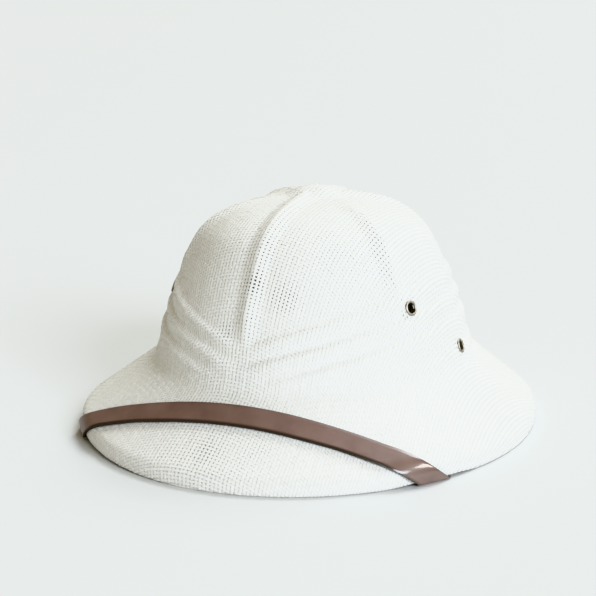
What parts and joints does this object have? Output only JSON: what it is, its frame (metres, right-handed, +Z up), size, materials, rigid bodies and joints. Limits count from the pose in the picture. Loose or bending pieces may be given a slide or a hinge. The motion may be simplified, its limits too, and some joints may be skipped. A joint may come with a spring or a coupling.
{
  "type": "straw hat",
  "caption": "Woven straw sun helmet: ribbed domed crown, pleated band, sloping brim with a turned-down edge, leather chin strap over the front and metal vent eyelets.",
  "frame": {"origin": "on the surface that the hat stands on, under the middle of its brim", "axes": "+Z up, the hat's front faces -Y, and the wearer's left is +X"},
  "size_m": [0.2986, 0.33, 0.1527],
  "materials": {
    "straw": "matte plain-woven straw",
    "leather": "smooth, satin",
    "metal": "satin"
  },
  "bodies": {
    "root": {"straw_shell": "straw", "chin_strap": "leather", "eyelet_left_front": "metal", "eyelet_left_side": "metal", "eyelet_right_front": "metal", "eyelet_right_side": "metal"}
  },
  "joints": []
}
